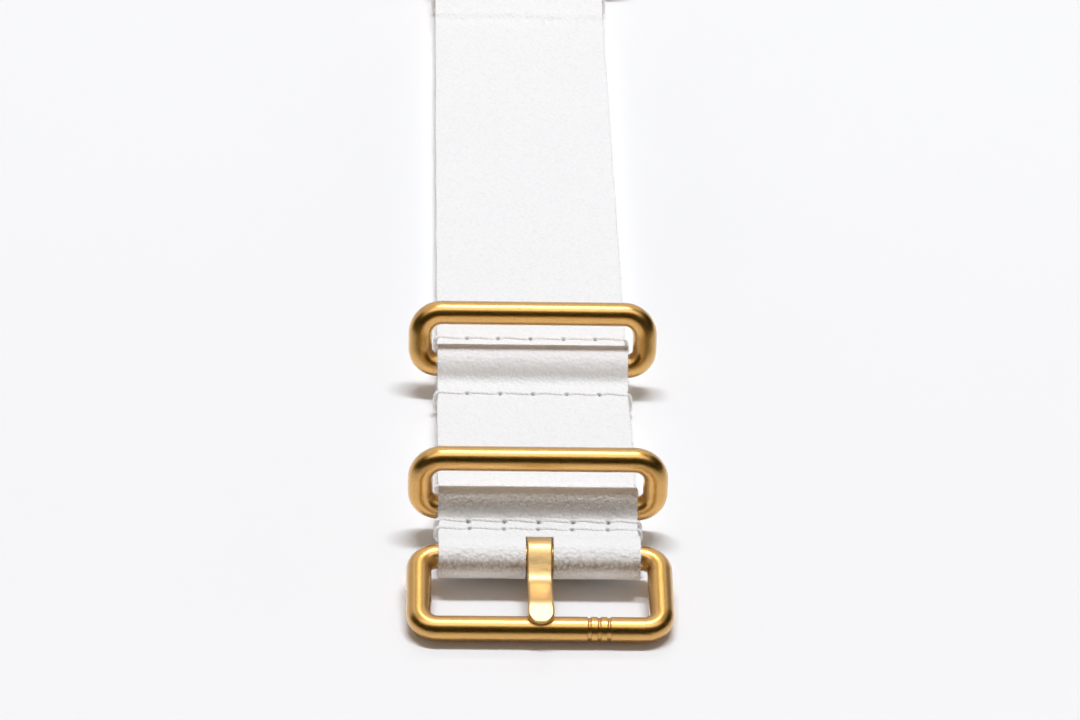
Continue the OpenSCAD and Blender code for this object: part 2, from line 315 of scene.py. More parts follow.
def tang_strip():
    rings = []
    for y, z, heading, far in tang_rows:
        close = min(far, tang_l - far)
        eased = tang_edge - math.sqrt(max(0.0, tang_edge ** 2 - max(0.0, tang_edge - close) ** 2))
        for x, up in edge_ring(tang_half(tang_l - far), tang_t / 2 - eased):
            at_y = rear_bar.y + y - up * math.sin(heading)
            at_z = rear_bar.z + z + up * math.cos(heading)
            rings.append((x * mm, at_y * mm, at_z * mm))
    count = len(rings) // len(tang_rows)
    faces = []
    for i in range(len(tang_rows) - 1):
        here, there = i * count, (i + 1) * count
        for k in range(count):
            n = (k + 1) % count
            faces.append((here + k, here + n, there + n, there + k))
    faces.append(tuple(range(count)))
    faces.append(tuple(range(len(rings) - count, len(rings))))
    mesh = bpy.data.meshes.new("tang_strip")
    mesh.from_pydata(rings, [], faces)
    shell = bmesh.new()
    shell.from_mesh(mesh)
    bmesh.ops.recalc_face_normals(shell, faces=shell.faces)
    shell.to_mesh(mesh)
    shell.free()
    mesh.polygons.foreach_set("use_smooth", np.ones(len(mesh.polygons), bool))
    mesh.materials.append(brushed_brass())
    return new_piece("tang_strip", mesh)


tang = tang_strip()
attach(tang, "tang")
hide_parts("buckle_tang")

# Strap leather
# One strip of white leather with a fine pebbled grain and raw cut edges. Its front end is turned under
# and glued, it goes round the buckle's bar and over each keeper's bar, and its far end is turned under.
leather_t, glue, tunnel = 0.85, 0.04, 0.08
strap_half, strap_round = 10.0, 0.16
loop_r = wire_r + tunnel + leather_t / 2
slope_r, crease_r, foot_r = 3.2, 0.6, 1.6
step_r, step_slack = 2.2, 0.3
seam_rise = 0.3
row_gap, seam_margin = 1.3, 2.2
front_seam, middle_seam, back_seam, end_seam = 0.8, 1.2, 2.4, 0.7
slot_half, slot_back = 1.38, 2.15
hole_numbers, hole_pitch, hole_size = range(-2, 3), 3.45, 0.235
stray_across, stray_along = 0.2, 0.12

# Levels of the leather's middle over the table, and the bars' distances from the buckle's bar
layer = leather_t + glue
under_z = layer + leather_t / 2
over_z = under_z + layer
crest_z = rear_bar.z + loop_r
pinch_z = rear_bar.z + seam_rise - leather_t / 2
keeper_y = [bars[name].y - rear_bar.y for name in ("keeper_1", "keeper_2", "keeper_3")]


def s_bend(rise, r1, r2):
    """Turn, in degrees, and length along the strap of two arcs that change level by rise."""
    turn = math.acos(1 - rise / (r1 + r2))
    return math.degrees(turn), (r1 + r2) * math.sin(turn)


pinch_turn, pinch_run = s_bend(pinch_z - layer - under_z, loop_r, foot_r)
slope_turn, slope_run = s_bend(crest_z - pinch_z, loop_r, slope_r)
crease_turn, crease_run = s_bend(crest_z - pinch_z, loop_r, crease_r)
foot_turn, foot_run = s_bend(crest_z - over_z, loop_r, foot_r)
step_turn, step_run = s_bend(layer, step_r, step_r)
fold_y = keeper_y[1] + foot_run + back_seam + seam_margin
end_fold = foot_run + end_seam + row_gap + seam_margin
seam_flat = keeper_y[0] - slope_run - crease_run
strap_steps = [
    # The turned-under front end, from behind the middle keeper up to the double seam
    [fold_y - keeper_y[0]],
    [loop_r, -pinch_turn],
    [foot_r, pinch_turn],
    [keeper_y[0] - 2 * pinch_run],
    # Round the buckle's bar and down to the double seam
    [foot_r, pinch_turn],
    [loop_r, -pinch_turn - 180 - slope_turn],
    [slope_r, slope_turn],
    [seam_flat],
    # Over the front keeper's bar, and over the middle keeper's
    [crease_r, crease_turn],
    [loop_r, -crease_turn - foot_turn],
    [foot_r, foot_turn],
    [keeper_y[1] - keeper_y[0] - 2 * foot_run],
    [foot_r, foot_turn],
    [loop_r, -2 * foot_turn],
    [foot_r, foot_turn],
    [back_seam + seam_margin + step_slack],
    # Down off the end of the turned-under part, and up on to the far one
    [step_r, -step_turn],
    [step_r, step_turn],
    [keeper_y[2] - end_fold - 2 * (step_slack + step_run) - fold_y],
    [step_r, step_turn],
    [step_r, -step_turn],
    [end_fold + step_slack - foot_run],
    # Round the end keeper's bar and back under
    [foot_r, foot_turn],
    [loop_r, -foot_turn - 180],
    [end_fold],
]
path = run_along(strap_steps, (fold_y, under_z), math.pi, 0.9, 5.0)
fine_path = run_along(strap_steps, (fold_y, under_z), math.pi, 0.05, 0.5)
strap_l = path[-1, 3]

# The first row at the loop's crest, above the buckle's bar
first_on_top = np.argmax(path[:, 1] > crest_z - 0.01)


def on_top(y):
    """Distance along the strip at which its upper side passes y, counted from the buckle's bar."""
    upper = path[first_on_top:]
    before_end = upper[: np.argmax(upper[:, 0]) + 1]
    return np.interp(y, before_end[:, 0], before_end[:, 3])


# Each row of sewing: its distance from the buckle's bar, and the level of the underside there
pair_y, pair_under, flat_under = slope_run + seam_flat / 2, pinch_z - layer - leather_t / 2, 0.0
rows_of_sewing = {
    "buckle_seam_front": (pair_y - row_gap / 2, pair_under),
    "buckle_seam_back": (pair_y + row_gap / 2, pair_under),
    "front_keeper_seam": (keeper_y[0] + foot_run + front_seam, flat_under),
    "middle_seam_front": (keeper_y[1] - foot_run - middle_seam, flat_under),
    "middle_seam_back": (keeper_y[1] + foot_run + back_seam, flat_under),
    "end_seam_front": (keeper_y[2] - foot_run - end_seam - row_gap, flat_under),
    "end_seam_back": (keeper_y[2] - foot_run - end_seam, flat_under),
}
row_at = {name: on_top(y) for name, (y, under) in rows_of_sewing.items()}


def needle_holes(seed):
    """A row's holes, punched by hand: each one's place across the strap, and how far it is off the row."""
    return [
        (hole_pitch * k + stray_across * noise.noise(Vector((k, seed, 0.3))),
         stray_along * noise.noise(Vector((k, seed, 9.3))))
        for k in hole_numbers]


row_holes = {name: needle_holes(seed) for seed, name in enumerate(rows_of_sewing)}


def thicken(values, centres, reach, spacing):
    """Sorted values with a closer spacing near some centres."""
    values = np.asarray(values, float)
    near = [np.linspace(c - reach, c + reach, round(2 * reach / spacing) + 1) for c in centres]
    away = np.abs(values[:, None] - np.asarray(centres)[None, :])
    kept = values[np.all(away > reach + spacing / 2, axis=1)]
    return np.sort(np.concatenate([kept] + near))


def hill(away, reach):
    """1 at a place, falling off smoothly with the distance from it."""
    return np.exp(-(away / reach) ** 2)


def waver(places, size, seed):
    """Smooth noise from -1 to 1 along a list of places."""
    return np.array([noise.noise(Vector((p / size, seed, 0.5 * seed))) for p in places])


# The strip's grid: stations along it and columns across it, closer together at the holes, and with lines
# on the slot's edges
near_row, near_hole, close_gap, plain_columns = 0.7, 0.5, 0.1, 31
below = path[:first_on_top]
slot_ends = (np.interp(-slot_back, -below[:, 0], below[:, 3]), on_top(slot_back))
stations = thicken(path[:, 3], list(row_at.values()), near_row, close_gap)
stations = np.unique(np.round(np.concatenate([stations, slot_ends]), 5))
hole_columns = [hole_pitch * k for k in hole_numbers]
columns = np.linspace(-strap_half, strap_half, plain_columns)
columns = thicken(columns, hole_columns, near_hole, close_gap)
columns = columns[np.abs(np.abs(columns) - slot_half) > close_gap]
columns = np.sort(np.concatenate([columns, [-slot_half, slot_half]]))
middle_s = (stations[1:] + stations[:-1])[:, None] / 2
middle_x = (columns[1:] + columns[:-1])[None, :] / 2
in_slot = (middle_s > slot_ends[0]) & (middle_s < slot_ends[1]) & (np.abs(middle_x) < slot_half)

# The slot's rear wall stands upright behind the tang's eye, so the inner side is cut back a little there
slot_cut, slot_cut_reach = 0.3, 0.8
inner_rows = rows_at(stations + slot_cut * hill(stations - slot_ends[1], slot_cut_reach), fine_path)

# The grain side bridges the tight crease between the double seam and the first hump
skin_gap, bridge_reach, bridge_count = 0.05, 0.95, 60
skin = rows_at(np.arange(0, strap_l, skin_gap), fine_path)
skin[:, 0] -= leather_t / 2 * np.sin(skin[:, 2])
skin[:, 1] += leather_t / 2 * np.cos(skin[:, 2])
bridge = np.exp(-(np.arange(-bridge_count, bridge_count + 1) * skin_gap / bridge_reach) ** 2 / 2)
bridge /= bridge.sum()
bridge_from, bridge_to, bridge_ease = on_top(slope_run - 0.5), on_top(keeper_y[0] - 0.5), 0.5
bridged = np.clip(np.minimum(skin[:, 3] - bridge_from, bridge_to - skin[:, 3]) / bridge_ease, 0, 1)
for k in range(2):
    smooth = np.convolve(np.pad(skin[:, k], bridge_count, mode="edge"), bridge, mode="valid")
    skin[:, k] += bridged * (smooth - skin[:, k])
skin_rows = rows_at(stations, skin)

# The sewing draws the edges in and presses the rows down. Each hole is a flat-floored pit in a wider
# hollow, and shade is painted on the leather round it
row_reach, edge_pull, row_press = 0.45, 0.16, 0.03
hole_deep, hollow_deep, hollow_reach, shade_reach = 0.62, 0.06, 0.75, 1.15 * hole_size
drawn_in = np.zeros(len(stations))
sunk = np.zeros((len(stations), len(columns)))
painted_hole_shade = np.zeros((len(stations), len(columns)))
for name, at in row_at.items():
    beside = stations - at
    drawn_in += edge_pull * hill(beside, row_reach)
    sunk -= row_press * hill(beside[:, None], row_reach)
    for x, aside in row_holes[name]:
        away = np.hypot(beside[:, None] - aside, columns[None, :] - x)
        painted_hole_shade = np.maximum(painted_hole_shade, hill(away ** 2, shade_reach ** 2))
        sunk -= hole_deep * hill(away ** 2, hole_size ** 2) + hollow_deep * hill(away, hollow_reach)

# Where the grain is raised more and a brown shade is painted: round the loop's front below its crest, where
# it turns away from the lamp above, and in the crease in front of the front keeper
loop_tilt, loop_reach = 13.0, 27.0
crease_ahead, crease_reach, crease_share = 1.3, 1.2, 0.55
faces_up = 90 - np.degrees(inner_rows[:, 2])
bent = np.where(stations < on_top(0.0), hill(faces_up - loop_tilt, loop_reach), 0.0)
bent += crease_share * hill(stations - on_top(keeper_y[0] - crease_ahead), crease_reach)

# The cut edges wander a little, and the leather's thickness swells and thins
edge_in, inner_in = 0.03, 0.01
long_wave, long_high, short_wave, short_high = 2.6, 0.05, 0.6, 0.025
swell_size, swell_high, swell_mean = 3.0, 0.025, -0.02
edge_left = waver(stations, long_wave, 3.1) * long_high + waver(stations, short_wave, 7.7) * short_high
edge_right = waver(stations, long_wave, 11.3) * long_high + waver(stations, short_wave, 5.2) * short_high
share = columns[None, :] / strap_half
near_side = np.abs(share) ** 6
ragged = np.where(share < 0, edge_left[:, None], edge_right[:, None])
strap_x = share * (strap_half - edge_in + ragged - drawn_in[:, None] * near_side)
swell = swell_mean + swell_high * np.array(
    [[noise.noise(Vector((x / swell_size, s / swell_size, 1.7))) for x in columns] for s in stations])


def sheet_points(rows, x, off):
    """Grid of points beside a path, off to the left of its heading."""
    points = np.zeros(x.shape + (3,))
    points[..., 0] = x
    points[..., 1] = rear_bar.y + rows[:, None, 0] - off * np.sin(rows[:, None, 2])
    points[..., 2] = rows[:, None, 1] + off * np.cos(rows[:, None, 2])
    return points


def settle(piece):
    """Puts a piece's modifiers into its mesh."""
    shown = bpy.data.meshes.new_from_object(piece.evaluated_get(bpy.context.evaluated_depsgraph_get()))
    piece.modifiers.clear()
    piece.data = shown
    return piece


def mark_points(mesh, name, amounts):
    """Gives each point of a mesh a number, for its material."""
    mesh.attributes.new(name, "FLOAT", "POINT").data.foreach_set("value", amounts.astype(np.float32))


def slab(name, outer, inner, present, edge_round, materials, marks=None):
    """A closed sheet between two grids of points, in millimetres, with walls where cells are absent."""
    rows, columns = outer.shape[:2]
    index = np.arange(rows * columns).reshape(rows, columns)
    under = index + rows * columns
    faces, kinds = [], []
    for i, j in np.argwhere(present):
        a, b, c, d = index[i, j], index[i, j + 1], index[i + 1, j + 1], index[i + 1, j]
        e, f, g, h = under[i, j], under[i, j + 1], under[i + 1, j + 1], under[i + 1, j]
        walls = (
            (j == 0 or not present[i, j - 1], (a, d, h, e)),
            (j == columns - 2 or not present[i, j + 1], (c, b, f, g)),
            (i == 0 or not present[i - 1, j], (b, a, e, f)),
            (i == rows - 2 or not present[i + 1, j], (d, c, g, h)),
        )
        cut = [wall for bare, wall in walls if bare]
        faces += [(a, b, c, d), (h, g, f, e)] + cut
        kinds += [0, 0] + [1] * len(cut)
    points = np.concatenate([outer.reshape(-1, 3), inner.reshape(-1, 3)]) * mm
    used = np.unique([v for face in faces for v in face])
    renumber = np.full(len(points), -1)
    renumber[used] = np.arange(len(used))
    mesh = bpy.data.meshes.new(name)
    mesh.from_pydata(points[used].tolist(), [], [[int(renumber[v]) for v in face] for face in faces])
    for material in materials:
        mesh.materials.append(material)
    mesh.polygons.foreach_set("material_index", np.array(kinds, np.int32))
    mesh.polygons.foreach_set("use_smooth", np.ones(len(faces), bool))
    for mark, amount in (marks or {}).items():
        mark_points(mesh, mark, np.concatenate([amount.ravel(), np.zeros(amount.size)])[used])
    piece = new_piece(name, mesh)
    sharp = math.radians(50)
    rounding = piece.modifiers.new("rounded_edges", "BEVEL")
    rounding.width, rounding.segments = edge_round * mm, 3
    rounding.limit_method, rounding.angle_limit = "ANGLE", sharp
    return settle(piece)


def strap_finish():
    white, whiter = (0.94, 0.942, 0.952, 1), (0.955, 0.957, 0.962, 1)
    between_pebbles, painted_shade_brown = (0.89, 0.885, 0.88, 1), (0.46, 0.38, 0.29, 1)
    hole_shade_grey = (0.24, 0.26, 0.25, 1)
    pebble_size = 0.36 * mm
    finish = Finish("white_leather")
    place, bent, painted_hole_shade = finish.place(), finish.mark("bent"), finish.mark("painted_hole_shade")
    pebble = finish.node("ShaderNodeTexVoronoi", {"feature": "SMOOTH_F1"}, {
        "Vector": place, "Scale": 1 / pebble_size, "Smoothness": 0.25, "Randomness": 1.0})
    fine = finish.noise(place, 0.14, roughness=0.6)
    wrinkle = finish.noise(place, 1.4, roughness=0.5)
    broad = finish.noise(place, 6.0, detail=2.0)
    grained = finish.mix(pebble * pebble, finish.mix(broad, white, whiter), between_pebbles)
    # Painted shade: brown where the bent mark is high, darkest between the pebbles
    grain_and_painted_shade = finish.mix(bent * bent * bent * (0.3 + pebble * 0.8), grained, painted_shade_brown)
    height = ((1 - pebble) * 0.7 + fine * 0.4) * (0.85 + bent * 3.4) + wrinkle * 1.4
    return finish.surface(
        # Painted shade: dark grey round each needle hole
        Base_Color=finish.mix(painted_hole_shade, grain_and_painted_shade, hole_shade_grey),
        Roughness=0.32 + fine * 0.16,
        Specular_IOR_Level=0.5,
        Normal=finish.bump(height, 0.10),
    )


def raw_edge():
    shaded, pale = (0.88, 0.873, 0.86, 1), (0.955, 0.952, 0.945, 1)
    finish = Finish("raw_leather_edge")
    place = finish.place()
    fibre = finish.noise(place, 0.12, detail=4.0, roughness=0.7)
    clump = finish.noise(place, 0.6)
    return finish.surface(
        Base_Color=finish.mix(fibre, shaded, pale),
        Roughness=0.85,
        Specular_IOR_Level=0.2,
        Normal=finish.bump(fibre + clump, 0.12),
    )


cut_edge = raw_edge()
strap = slab(
    "strap_strip",
    sheet_points(skin_rows, strap_x, sunk + swell),
    sheet_points(inner_rows, strap_x, inner_in - leather_t / 2),
    ~in_slot, strap_round, [strap_finish(), cut_edge],
    {"painted_hole_shade": painted_hole_shade, "bent": np.repeat(bent[:, None], len(columns), axis=1)})
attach(strap, "strap")
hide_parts("strap_leather")

# Lining
# A flat strip of smooth leather under the whole strap, glued and sewn on. Shallow grooves across its
# underside take the thread, so that the strap lies flat.
lining_in, lining_round, lining_sway, lining_sway_size = 0.02, 0.12, 0.03, 3.0
groove_deep, groove_half, groove_flank = 0.48, 0.34, 0.08
near_groove, groove_gap, plain_rows = 0.42, 0.07, 60


def lining_finish():
    deep, pale = (0.80, 0.78, 0.745, 1), (0.87, 0.855, 0.83, 1)
    finish = Finish("lining_leather")
    place = finish.place()
    fine = finish.noise(place, 0.22, detail=4.0, roughness=0.65)
    broad = finish.noise(place, 4.0)
    return finish.surface(
        Base_Color=finish.mix(broad, deep, pale),
        Roughness=0.6 + fine * 0.15,
        Specular_IOR_Level=0.35,
        Normal=finish.bump(fine, 0.06),
    )


lining_low, lining_high = [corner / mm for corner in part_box("lining_leather")]
lined = [y + rear_bar.y for y, under in rows_of_sewing.values() if under == flat_under]
lining_y = np.linspace(lining_low.y, lining_high.y, plain_rows)
lining_y = thicken(lining_y, lined, near_groove, groove_gap)
lining_x = np.linspace(lining_in - strap_half, strap_half - lining_in, plain_columns)
groove = np.zeros(len(lining_y))
for y in lined:
    inside = np.clip((groove_half - np.abs(lining_y - y)) / groove_flank, 0, 1)
    groove = np.maximum(groove, groove_deep * inside)
grid_x, grid_y = np.meshgrid(lining_x, lining_y)
grid_x = grid_x + waver(lining_y, lining_sway_size, 2.2)[:, None] * lining_sway
lining_top = np.stack([grid_x, grid_y, np.full(grid_x.shape, lining_high.z)], axis=-1)
lining_under = np.stack([grid_x, grid_y, np.broadcast_to(groove[:, None], grid_x.shape)], axis=-1)
whole = np.ones((len(lining_y) - 1, len(lining_x) - 1), bool)
lining = slab("lining_strip", lining_top, lining_under, whole, lining_round, [lining_finish(), cut_edge])
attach(lining, "strap")
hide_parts("lining_leather")

# Edge fibres
# The strips are cut, not painted or folded at the sides, so short ends of leather fibre stand out all along
# both cut edges. They belong to the strap and its lining.


class Shaping(Nodes):
    """A Geometry Nodes tree under construction, with named inputs."""

    def __init__(self, name, inputs):
        super().__init__(bpy.data.node_groups.new(name, "GeometryNodeTree"))
        face = self.tree.interface
        for label, (kind, value) in inputs.items():
            socket = face.new_socket(label, in_out="INPUT", socket_type="NodeSocket" + kind)
            if value is not None:
                socket.default_value = value
        face.new_socket("Shape", in_out="OUTPUT", socket_type="NodeSocketGeometry")
        self.given = self.node("NodeGroupInput").output

    def close(self, shape):
        """Ends the tree in real geometry, with the material that is given."""
        real = self.node("GeometryNodeRealizeInstances", None, {"Geometry": shape})
        dyed = self.node("GeometryNodeSetMaterial", None, {
            "Geometry": real, "Material": self.given("Material")})
        self.node("NodeGroupOutput", None, {0: dyed})
        return self.tree


def standing_fibres():
    """A tree that scatters short bent fibres over a surface."""
    bow = {"Resolution": 3, "Start": (0, 0, -0.1), "Middle": (0.0, 0, 0.6), "End": (0.45, 0.1, 1.0)}
    least_lean, most_lean = (-0.9, -0.9, -3.14), (0.9, 0.9, 3.14)
    shortest, longest = 0.25, 1.0
    fibres = Shaping("standing_fibres", {
        "Cut": ("Geometry", None),
        "Fibre Length": ("Float", 0.34 * mm),
        "Fibre Radius": ("Float", 0.014 * mm),
        "Fibres per Area": ("Float", 1.1e7),
        "Lowest": ("Float", 0.4 * mm),
        "Seed": ("Int", 7),
        "Material": ("Material", None)})
    given, add = fibres.given, fibres.node
    spread = add("GeometryNodeDistributePointsOnFaces", {"distribute_method": "RANDOM"}, {
        "Mesh": given("Cut"), "Density": given("Fibres per Area"), "Seed": given("Seed")})
    height = add("ShaderNodeSeparateXYZ", None, {0: add("GeometryNodeInputPosition")}, "Z")
    low = add("FunctionNodeCompare", {"operation": "LESS_THAN"}, {0: height, 1: given("Lowest")})
    kept = add("GeometryNodeDeleteGeometry", {"domain": "POINT"}, {"Geometry": spread, "Selection": low})
    stretch = add("ShaderNodeCombineXYZ", None, {key: given("Fibre Length") for key in "XYZ"})
    strand = add("GeometryNodeTransform", None, {
        "Geometry": add("GeometryNodeCurveQuadraticBezier", None, bow), "Scale": stretch})
    section = add("GeometryNodeCurvePrimitiveCircle", {"mode": "RADIUS"}, {
        "Resolution": 3, "Radius": given("Fibre Radius")})
    one = add("GeometryNodeCurveToMesh", None, {
        "Curve": strand, "Profile Curve": section, "Fill Caps": True})
    lean = add("FunctionNodeRandomValue", {"data_type": "FLOAT_VECTOR"}, {
        "Min": least_lean, "Max": most_lean, "Seed": given("Seed")})
    aimed = add("FunctionNodeRotateRotation", {"rotation_space": "LOCAL"}, {
        "Rotation": spread.output("Rotation"),
        "Rotate By": add("FunctionNodeEulerToRotation", None, {"Euler": lean})})
    length = add("FunctionNodeRandomValue", {"data_type": "FLOAT"}, {
        2: shortest, 3: longest, "Seed": given("Seed")}, 1)
    return fibres.close(add("GeometryNodeInstanceOnPoints", None, {
        "Points": kept, "Instance": one, "Rotation": aimed, "Scale": length}))


def cut_sides(piece, name):
    """The faces of a strip's two long cut edges, as a mesh of their own."""
    mesh = piece.data
    near_edge, facing_aside = (strap_half - 1) * mm, 0.8
    sides = [
        p for p in mesh.polygons
        if p.material_index == 1 and abs(p.normal.x) > facing_aside and abs(p.center.x) > near_edge]
    used = sorted({v for p in sides for v in p.vertices})
    renumber = {v: k for k, v in enumerate(used)}
    faces = [[renumber[v] for v in p.vertices] for p in sides]
    cut = bpy.data.meshes.new(name)
    cut.from_pydata([mesh.vertices[v].co for v in used], [], faces)
    return cut


def fibre_finish():
    shaded, pale = (0.90, 0.893, 0.88, 1), (0.955, 0.952, 0.945, 1)
    finish = Finish("leather_fibre")
    strand = finish.noise(finish.place(), 0.3, detail=2.0)
    return finish.surface(
        Base_Color=finish.mix(strand, shaded, pale),
        Roughness=0.75 + strand * 0.1,
        Specular_IOR_Level=0.2,
    )


def grow(name, mesh, tree, material):
    """A piece with what a tree makes of a mesh, as a plain mesh."""
    piece = new_piece(name, mesh)
    modifier = piece.modifiers.new(tree.name, "NODES")
    modifier.node_group = tree
    for socket in tree.interface.items_tree:
        if socket.name == "Material":
            modifier[socket.identifier] = material
    return settle(piece)


fibres, fibre_white = standing_fibres(), fibre_finish()
for strip, name, slot in ((strap, "strap_fibres", "leather"), (lining, "lining_fibres", "lining")):
    fringe = grow(name, cut_sides(strip, name), fibres, fibre_white)
    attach(fringe, "strap")

# Sewing
# White waxed thread of three twisted plies. Each row goes from hole to hole across the strap, dips into
# every hole, turns round both edges and runs back along the underside.
thread_r, thread_play, thread_sunk, ply_share = 0.24, 0.03, 0.14, 0.68
dip, dip_reach = 0.80, 0.30
stitch_lean, stitch_sway, sway_size = 0.09, 0.05, 1.7
stitch_crown, stitch_waver, waver_size = 0.07, 0.03, 1.1
thread_edge, edge_turn_r, past_edge = strap_half - 0.02, 0.26, 0.6


def thread_finish():
    grey_white, white, hole_shade_grey = (0.92, 0.92, 0.915, 1), (0.955, 0.955, 0.95, 1), (0.28, 0.30, 0.29, 1)
    finish = Finish("waxed_thread")
    fuzz = finish.noise(finish.place(), 0.09, roughness=0.7)
    return finish.surface(
        # Painted shade: the thread turns dark grey where it goes down into a hole
        Base_Color=finish.mix(finish.mark("hole_shade_on_thread"), finish.mix(fuzz, grey_white, white), hole_shade_grey),
        Roughness=0.62,
        Specular_IOR_Level=0.35,
        Sheen_Weight=0.15,
        Normal=finish.bump(fuzz, 0.02),
    )


def twisted_plies():
    """A tree that turns a route into plies that twist round it."""
    twist = Shaping("twisted_plies", {
        "Route": ("Geometry", None),
        "Thread Radius": ("Float", thread_r * mm),
        "Twist Length": ("Float", 1.5 * mm),
        "Spacing": ("Float", 0.085 * mm),
        "Plies": ("Int", 3),
        "Material": ("Material", None)})
    given, add = twist.given, twist.node
    line = add("GeometryNodeMeshToCurve", None, {"Mesh": given("Route")})
    even = add("GeometryNodeResampleCurve", {"mode": "LENGTH"}, {"Curve": line, "Length": given("Spacing")})
    copies = add("GeometryNodeDuplicateElements", {"domain": "SPLINE"}, {
        "Geometry": even, "Amount": given("Plies")})
    gone = add("GeometryNodeSplineParameter", output="Length")
    turns = gone / given("Twist Length") + copies.output("Duplicate Index") / given("Plies")
    angle = 2 * math.pi * turns
    ply_r = given("Thread Radius") * ply_share
    ply_off = given("Thread Radius") - ply_r
    normal, tangent = add("GeometryNodeInputNormal"), add("GeometryNodeInputTangent")
    aside = add("ShaderNodeVectorMath", {"operation": "CROSS_PRODUCT"}, {0: tangent, 1: normal})
    parts = []
    for wave, direction in (("COSINE", normal), ("SINE", aside)):
        reach = add("ShaderNodeMath", {"operation": wave}, {0: angle}) * ply_off
        parts.append(add("ShaderNodeVectorMath", {"operation": "SCALE"}, {0: direction, "Scale": reach}))
    offset = add("ShaderNodeVectorMath", {"operation": "ADD"}, {0: parts[0], 1: parts[1]})
    laid = add("GeometryNodeSetPosition", None, {"Geometry": copies, "Offset": offset})
    section = add("GeometryNodeCurvePrimitiveCircle", {"mode": "RADIUS"}, {
        "Resolution": 7, "Radius": ply_r})
    tube = add("GeometryNodeCurveToMesh", None, {"Curve": laid, "Profile Curve": section})
    return twist.close(add("GeometryNodeSetShadeSmooth", None, {"Geometry": tube}))


def thread_route(name, seed):
    """One row's closed route, with how deep in a hole each point is.

    It goes over the top from hole to hole, round an edge, back below and round the other edge.
    """
    y, under = rows_of_sewing[name]
    over = np.interp(row_at[name], skin[:, 3], skin[:, 1]) - thread_sunk
    low = under + thread_r + thread_play
    steps = np.linspace(-thread_edge, thread_edge, 401)
    lift = np.zeros(len(steps))
    for x, aside in row_holes[name]:
        lift = np.maximum(lift, dip * hill(steps - x, dip_reach))
    ends = thread_edge + past_edge
    stops = np.array([-ends] + [x for x, aside in row_holes[name]] + [ends])
    sides = np.array([0.0] + [aside for x, aside in row_holes[name]] + [0.0])
    stitch = np.searchsorted(stops, steps) - 1
    along = (steps - stops[stitch]) / (stops[stitch + 1] - stops[stitch])
    lean = stitch_lean * np.sin(2 * math.pi * along)
    sway = np.interp(steps, stops, sides) + lean + waver(steps, sway_size, seed) * stitch_sway
    crown = stitch_crown * np.sin(math.pi * along) + waver(steps, waver_size, seed + 20) * stitch_waver
    turn = np.linspace(0, math.pi, 13)[1:-1]
    tall = (over - low) / 2
    route = [(x, y + s, over + c - l) for x, s, c, l in zip(steps, sway, crown, lift)]
    route += [(thread_edge + edge_turn_r * math.sin(a), y, low + tall + tall * math.cos(a)) for a in turn]
    route += [(x, y, low) for x in steps[::-6]]
    route += [(-thread_edge - edge_turn_r * math.sin(a), y, low + tall - tall * math.cos(a)) for a in turn]
    # The thread is painted with shade from a little less than half way down its hole
    depth = np.clip(lift / dip * 2.2 - 1.0, 0, 1)
    depth = np.pad(depth, (0, len(route) - len(depth)))
    return [Vector((x, p + rear_bar.y, z)) * mm for x, p, z in route], depth


thread, plies = thread_finish(), twisted_plies()
for seed, name in enumerate(rows_of_sewing):
    route, depth = thread_route(name, 1.37 * seed + 0.4)
    line = bpy.data.meshes.new(name + "_route")
    line.from_pydata(route, [(i, (i + 1) % len(route)) for i in range(len(route))], [])
    mark_points(line, "hole_shade_on_thread", depth)
    seam = grow(name + "_thread", line, plies, thread)
    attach(seam, "strap")
    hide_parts(name)

# Table, lamps and camera
# The strap lies on a smooth white table under a lamp above and slightly behind it, a broad soft light and
# low lamps all round. The upper two are pairs: a lamp that lights the pieces, and a gleam that only shows
# in polished surfaces. A dark card, seen only in reflections, gives the wire its dark line. All in metres.
table_half, table_z = 4.0, -0.01 * mm


def table_finish():
    white, whiter = (0.95, 0.952, 0.962, 1), (0.957, 0.958, 0.966, 1)
    finish = Finish("white_table")
    faint = finish.noise(finish.place(), 30.0, detail=2.0)
    return finish.surface(
        Base_Color=finish.mix(faint, white, whiter),
        Roughness=0.2,
        Specular_IOR_Level=0.45,
    )


table_top = bpy.data.meshes.new("table")
table_sides = ((-1, -1), (1, -1), (1, 1), (-1, 1))
table_corners = [(x * table_half, y * table_half, table_z) for x, y in table_sides]
table_top.from_pydata(table_corners, [], [(0, 1, 2, 3)])
table_top.materials.append(table_finish())
new_piece("table", table_top)


def card_finish():
    finish = Finish("dark_card")
    return finish.surface(Base_Color=(0.004, 0.004, 0.004, 1), Roughness=0.9, Specular_IOR_Level=0.0)


# The card is part of a sphere, between two heights and two turns in degrees
card_r, card_low, card_high, card_left, card_right = 1.6, 0.2, 61.0, -102.0, 128.0
card_rows, card_columns = 13, 25
card_points = []
for rise in np.radians(np.linspace(card_low, card_high, card_rows)):
    for around in np.radians(np.linspace(card_left, card_right, card_columns)):
        out = card_r * math.cos(rise)
        card_points.append((out * math.sin(around), -out * math.cos(around), card_r * math.sin(rise)))
card_faces = [
    (k, k + 1, k + 1 + card_columns, k + card_columns)
    for k in range((card_rows - 1) * card_columns) if (k + 1) % card_columns]
card_sheet = bpy.data.meshes.new("dark_card")
card_sheet.from_pydata(card_points, [], card_faces)
card_sheet.materials.append(card_finish())
card = new_piece("dark_card", card_sheet)
card.visible_camera = False
card.visible_diffuse = False
card.visible_shadow = False


